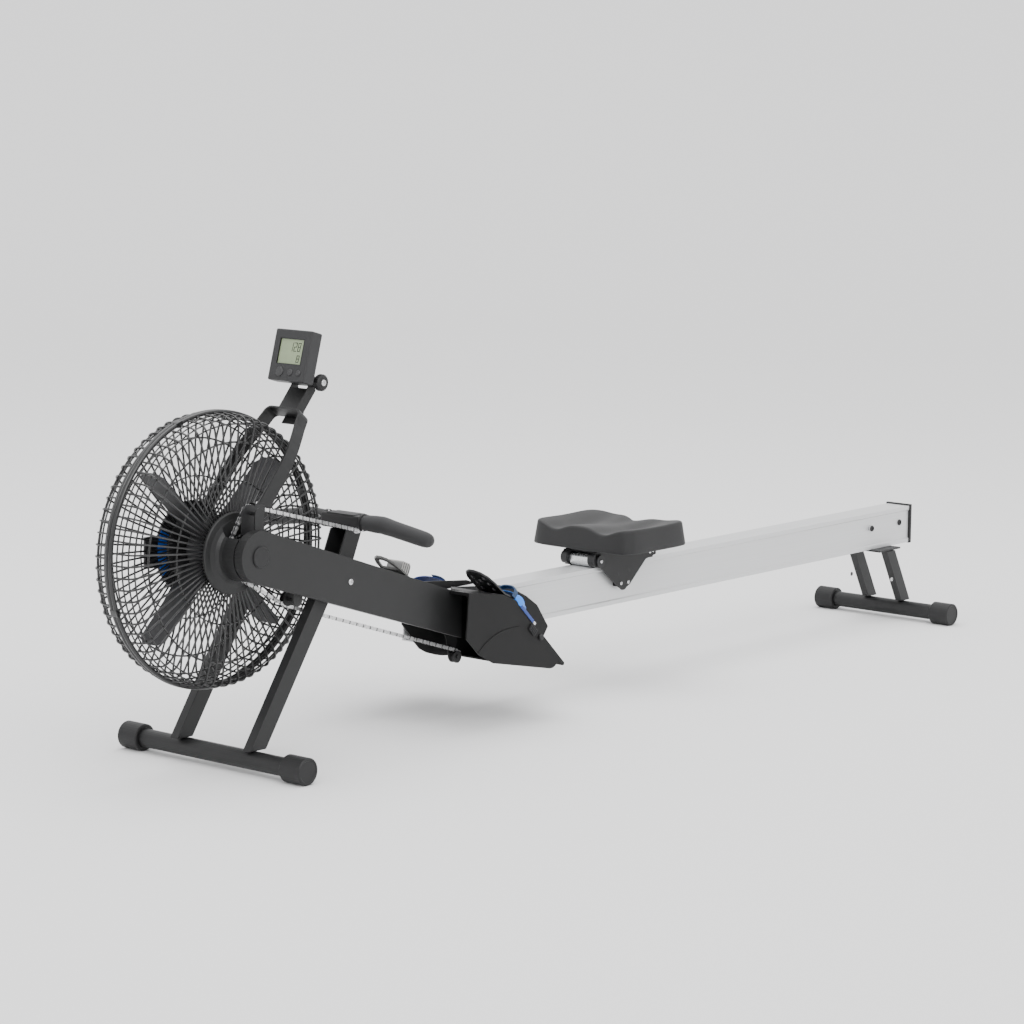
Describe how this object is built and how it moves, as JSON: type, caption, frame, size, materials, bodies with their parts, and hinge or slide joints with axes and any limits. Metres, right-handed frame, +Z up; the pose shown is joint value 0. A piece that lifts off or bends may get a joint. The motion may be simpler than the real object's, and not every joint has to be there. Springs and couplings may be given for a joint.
{
  "type": "rowing machine",
  "caption": "Air-resistance rowing machine: caged fan in front, chain handle on a rest post, tilting monitor, straps on two feet, sliding seat on a long rail.",
  "frame": {"origin": "on the floor under the middle of the machine's length and width", "axes": "+X along the rail from the fan to the rear foot, +Y to the side away from the chain, +Z up"},
  "size_m": [2.6238, 0.4892, 0.8205],
  "materials": {
    "powder_coat": "satin, fine texture",
    "black_plastic": "matte",
    "gloss_black_wire": "semi-gloss",
    "perforated_plate": "satin",
    "satin_aluminium": "satin anodised",
    "bright_steel": "bright",
    "seat_foam": "matte, fine grain",
    "grip_foam": "matte, closed-cell foam",
    "blue_webbing": "woven",
    "blue_plastic": "satin",
    "lcd_glass": "semi-gloss"
  },
  "bodies": {
    "frame": {"beam_left": "powder_coat", "beam_right": "powder_coat", "cross_tube": "powder_coat", "rear_cross_bar": "powder_coat", "front_leg_left": "powder_coat", "front_leg_right": "powder_coat", "front_foot_tube": "powder_coat", "rear_foot_tube": "powder_coat", "rear_bracket": "powder_coat", "rear_leg_left": "powder_coat", "rear_leg_right": "powder_coat", "sprocket_cover": "powder_coat", "return_pulley_block": "powder_coat", "handle_post": "powder_coat", "monitor_strap": "powder_coat", "monitor_post": "powder_coat", "front_foot_cap_left": "black_plastic", "front_foot_cap_right": "black_plastic", "rear_foot_cap_left": "black_plastic", "rear_foot_cap_right": "black_plastic", "rail_end_cap": "black_plastic", "axle_cap_left": "black_plastic", "foot_housing_left": "black_plastic", "foot_housing_right": "black_plastic", "guard_left": "gloss_black_wire", "guard_right": "gloss_black_wire", "guard_ring": "gloss_black_wire", "rail": "satin_aluminium", "seat_stop_bolt": "bright_steel", "fan_axle": "bright_steel", "chain_return_run": "bright_steel", "chain_pull_run": "bright_steel", "foot_strap_left": "blue_webbing", "foot_strap_right": "blue_webbing"},
    "fan": {"fan_hub": "black_plastic", "fan_blade_1": "black_plastic", "fan_blade_2": "black_plastic", "fan_blade_3": "black_plastic", "fan_blade_4": "black_plastic"},
    "damper": {"damper_ring": "blue_plastic"},
    "sprocket": {"chain_sprocket": "bright_steel"},
    "guide_roller": {"chain_guide_roller": "black_plastic"},
    "idler": {"chain_idler": "black_plastic"},
    "return_pulley": {"return_pulley": "black_plastic"},
    "handle": {"handle_bar": "bright_steel", "handle_centre_block": "black_plastic", "handle_grip_left": "grip_foam", "handle_grip_right": "grip_foam"},
    "seat": {"seat_pad": "seat_foam", "seat_carriage": "black_plastic"},
    "front_roller": {"seat_roller_front": "satin_aluminium"},
    "rear_roller": {"seat_roller_rear": "satin_aluminium"},
    "monitor": {"monitor_case": "black_plastic", "lcd_screen": "lcd_glass"},
    "knob": {"tilt_knob": "black_plastic"},
    "key_1": {"button_1": "black_plastic"},
    "key_2": {"button_2": "black_plastic"},
    "key_3": {"button_3": "black_plastic"},
    "toe_left": {"toe_plate_left": "perforated_plate"},
    "toe_right": {"toe_plate_right": "perforated_plate"}
  },
  "joints": [
    {"name": "fan_spin", "type": "hinge", "parent": "frame", "child": "fan", "pos_m": [-1.0455, 0, 0.418], "axis": [0, 1, 0], "continuous": true},
    {"name": "damper_turn", "type": "hinge", "parent": "frame", "child": "damper", "pos_m": [-1.0455, 0.0565, 0.418], "axis": [0, 1, 0], "range_deg": [-60, 0]},
    {"name": "handle_pull", "type": "slide", "parent": "frame", "child": "handle", "axis": [1, 0, 0], "range_m": [0, 1.25], "stiffness_N_per_m": 20, "springref_m": -0.3, "deforming": ["chain_pull_run"]},
    {"name": "sprocket_spin", "type": "hinge", "parent": "frame", "child": "sprocket", "pos_m": [-1.0455, -0.083, 0.418], "axis": [0, 1, 0], "continuous": true},
    {"name": "guide_roller_spin", "type": "hinge", "parent": "frame", "child": "guide_roller", "pos_m": [-1.0315, -0.083, 0.4955], "axis": [0, 1, 0], "continuous": true},
    {"name": "idler_spin", "type": "hinge", "parent": "frame", "child": "idler", "pos_m": [-0.9275, -0.083, 0.32], "axis": [0, 1, 0], "continuous": true},
    {"name": "return_pulley_spin", "type": "hinge", "parent": "frame", "child": "return_pulley", "pos_m": [-0.4385, -0.083, 0.142], "axis": [0, 1, 0], "continuous": true},
    {"name": "seat_slide", "type": "slide", "parent": "frame", "child": "seat", "axis": [0.9999, 0, 0.0102], "range_m": [-0.12, 0.94]},
    {"name": "front_roller_spin", "type": "hinge", "parent": "seat", "child": "front_roller", "pos_m": [0.07632, 0, 0.27383], "axis": [0, 1, 0], "continuous": true},
    {"name": "rear_roller_spin", "type": "hinge", "parent": "seat", "child": "rear_roller", "pos_m": [0.25431, 0, 0.27564], "axis": [0, 1, 0], "continuous": true},
    {"name": "monitor_tilt", "type": "hinge", "parent": "frame", "child": "monitor", "pos_m": [-0.7935, 0, 0.72], "axis": [0, 1, 0], "range_deg": [-15, 20]},
    {"name": "tilt_knob_turn", "type": "hinge", "parent": "frame", "child": "knob", "pos_m": [-0.7935, -0.042, 0.72], "axis": [0, 1, 0], "range_deg": [-180, 180]},
    {"name": "button_1_press", "type": "slide", "parent": "monitor", "child": "key_1", "axis": [0.9659, 0, -0.2588], "range_m": [0, 0.0018], "stiffness_N_per_m": 400},
    {"name": "button_2_press", "type": "slide", "parent": "monitor", "child": "key_2", "axis": [0.9659, 0, -0.2588], "range_m": [0, 0.0018], "stiffness_N_per_m": 400},
    {"name": "button_3_press", "type": "slide", "parent": "monitor", "child": "key_3", "axis": [0.9659, 0, -0.2588], "range_m": [0, 0.0018], "stiffness_N_per_m": 400},
    {"name": "toe_slide_left", "type": "slide", "parent": "frame", "child": "toe_left", "axis": [-0.7255, 0, 0.6883], "range_m": [0, 0.03]},
    {"name": "toe_slide_right", "type": "slide", "parent": "frame", "child": "toe_right", "axis": [-0.7255, 0, 0.6883], "range_m": [0, 0.03]}
  ],
  "couplings": [
    {"joint": "sprocket_spin", "follows": "handle_pull", "rad_per_m": 23.364},
    {"joint": "guide_roller_spin", "follows": "handle_pull", "rad_per_m": 78.125},
    {"joint": "idler_spin", "follows": "handle_pull", "rad_per_m": 78.125},
    {"joint": "return_pulley_spin", "follows": "handle_pull", "rad_per_m": -78.125},
    {"joint": "front_roller_spin", "follows": "seat_slide", "rad_per_m": 68.966},
    {"joint": "rear_roller_spin", "follows": "seat_slide", "rad_per_m": 68.966}
  ]
}
